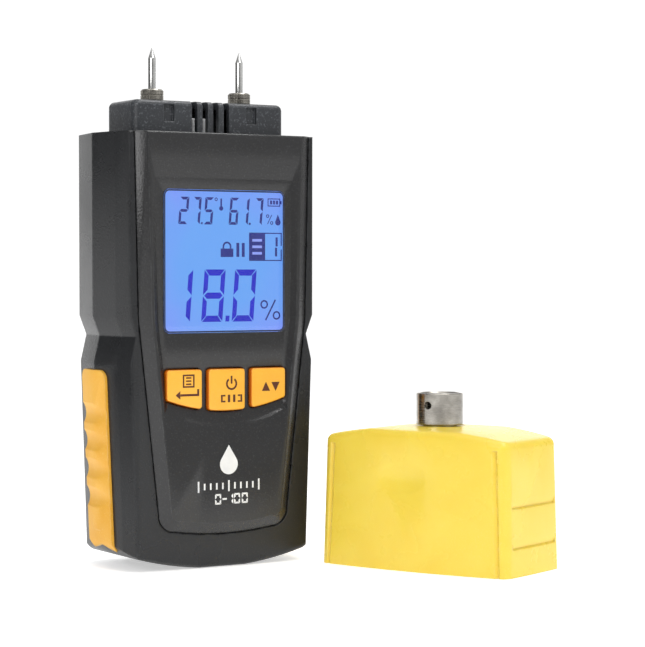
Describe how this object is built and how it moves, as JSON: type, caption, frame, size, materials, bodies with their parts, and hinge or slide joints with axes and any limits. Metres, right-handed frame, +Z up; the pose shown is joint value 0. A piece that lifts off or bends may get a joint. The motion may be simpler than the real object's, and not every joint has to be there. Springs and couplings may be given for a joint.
{
  "type": "moisture meter",
  "caption": "Hand-held pin-type moisture meter with a backlit display, three keys, two needle probes, side grips and a separate yellow pin cap with a bayonet probe socket.",
  "frame": {"origin": "middle of the flat land under the meter, on the surface that it stands on", "axes": "+Z up along the meter towards its needles, the keypad and display face -Y, +X to the right of someone facing the keypad; the cap stands open side down to the right and in front"},
  "size_m": [0.1219, 0.1028, 0.1595],
  "materials": {
    "case_charcoal": "fine spark texture, semi-matt",
    "panel_charcoal": "fine spark texture, semi-gloss",
    "window_clear": "clear polished acrylic",
    "lcd_blue": "backlit blue liquid-crystal glass",
    "diffuser_white": "milky light guide",
    "frame_black": "moulded, matt",
    "strip_rubber": "layered conductive rubber",
    "board_green": "glass-fibre board with solder mask",
    "chip_black": "epoxy, matt",
    "screw_steel": "zinc plated",
    "mat_silicone": "silicone, matt",
    "key_amber": "silicone keys, amber",
    "grip_yellow": "soft-touch, satin",
    "head_charcoal": "fine spark texture, semi-matt",
    "sensor_white": "porous filter cap",
    "post_nickel": "nickel-plated brass",
    "tab_brass": "rolled brass strip",
    "needle_steel": "ground hardened steel",
    "nut_nickel": "knurled, nickel plated",
    "tray_black": "moulded, matt",
    "cell_jacket": "printed jacket",
    "contact_nickel": "nickel plated",
    "label_grey": "blank film label",
    "cap_yellow": "moulded, semi-gloss",
    "carrier_black": "moulded, matt",
    "connector_metal": "turned, nickel plated",
    "insulator_white": "white fluoropolymer",
    "pin_gold": "gold plated"
  },
  "bodies": {
    "meter": {"rear_shell": "case_charcoal", "front_shell": "case_charcoal", "front_panel": "panel_charcoal", "display_window": "window_clear", "lcd_glass": "lcd_blue", "lcd_backlight": "diffuser_white", "lcd_frame": "frame_black", "contact_strips": "strip_rubber", "main_board": "board_green", "board_screws": "screw_steel", "board_chips": "chip_black", "buzzer": "chip_black", "keypad_mat": "mat_silicone", "left_grip": "grip_yellow", "right_grip": "grip_yellow", "probe_head": "head_charcoal", "sensor_board": "board_green", "humidity_sensor": "sensor_white", "left_pin_post": "post_nickel", "right_pin_post": "post_nickel", "left_pin_tab": "tab_brass", "right_pin_tab": "tab_brass", "battery_tray": "tray_black", "left_battery": "cell_jacket", "middle_battery": "cell_jacket", "right_battery": "cell_jacket", "battery_plates": "contact_nickel", "battery_springs": "contact_nickel", "door_hinge_pin": "screw_steel", "rear_label": "label_grey", "case_screws": "screw_steel"},
    "cap": {"cap_shell": "cap_yellow", "contact_carrier": "carrier_black", "carrier_screws": "screw_steel", "left_contact_tube": "tab_brass", "right_contact_tube": "tab_brass", "connector_body": "connector_metal", "connector_insulator": "insulator_white", "connector_pin": "pin_gold", "connector_nut": "connector_metal"},
    "enter_button": {"enter_button": "key_amber"},
    "power_button": {"power_button": "key_amber"},
    "set_button": {"set_button": "key_amber"},
    "left_needle": {"left_needle": "needle_steel"},
    "right_needle": {"right_needle": "needle_steel"},
    "left_pin_nut": {"left_pin_nut": "nut_nickel"},
    "right_pin_nut": {"right_pin_nut": "nut_nickel"},
    "door": {"battery_door": "case_charcoal"},
    "bayonet_sleeve": {"bayonet_sleeve": "connector_metal"}
  },
  "joints": [
    {"name": "enter_press", "type": "slide", "parent": "meter", "child": "enter_button", "axis": [0, 1, 0], "range_m": [0, 0.0008], "stiffness_N_per_m": 700},
    {"name": "power_press", "type": "slide", "parent": "meter", "child": "power_button", "axis": [0, 1, 0], "range_m": [0, 0.0008], "stiffness_N_per_m": 700},
    {"name": "set_press", "type": "slide", "parent": "meter", "child": "set_button", "axis": [0, 1, 0], "range_m": [0, 0.0008], "stiffness_N_per_m": 700},
    {"name": "left_needle_draw", "type": "slide", "parent": "meter", "child": "left_needle", "axis": [0, 0, 1], "range_m": [0, 0.012]},
    {"name": "left_nut_turn", "type": "hinge", "parent": "meter", "child": "left_pin_nut", "pos_m": [-0.01535, 0.0018, 0.1445], "axis": [0, 0, 1], "continuous": true},
    {"name": "right_needle_draw", "type": "slide", "parent": "meter", "child": "right_needle", "axis": [0, 0, 1], "range_m": [0, 0.012]},
    {"name": "right_nut_turn", "type": "hinge", "parent": "meter", "child": "right_pin_nut", "pos_m": [0.01535, 0.0018, 0.1445], "axis": [0, 0, 1], "continuous": true},
    {"name": "door_swing", "type": "hinge", "parent": "meter", "child": "door", "pos_m": [0, 0.016, 0.0126], "axis": [-1, 0, 0], "range_deg": [0, 90]},
    {"name": "cap_lift", "type": "slide", "parent": "meter", "child": "cap", "axis": [0, 0, 1], "range_m": [0, 0.18]},
    {"name": "sleeve_turn", "type": "hinge", "parent": "cap", "child": "bayonet_sleeve", "pos_m": [0.05825, -0.0478, 0.048], "axis": [0, 0, 1], "range_deg": [0, 90]}
  ]
}
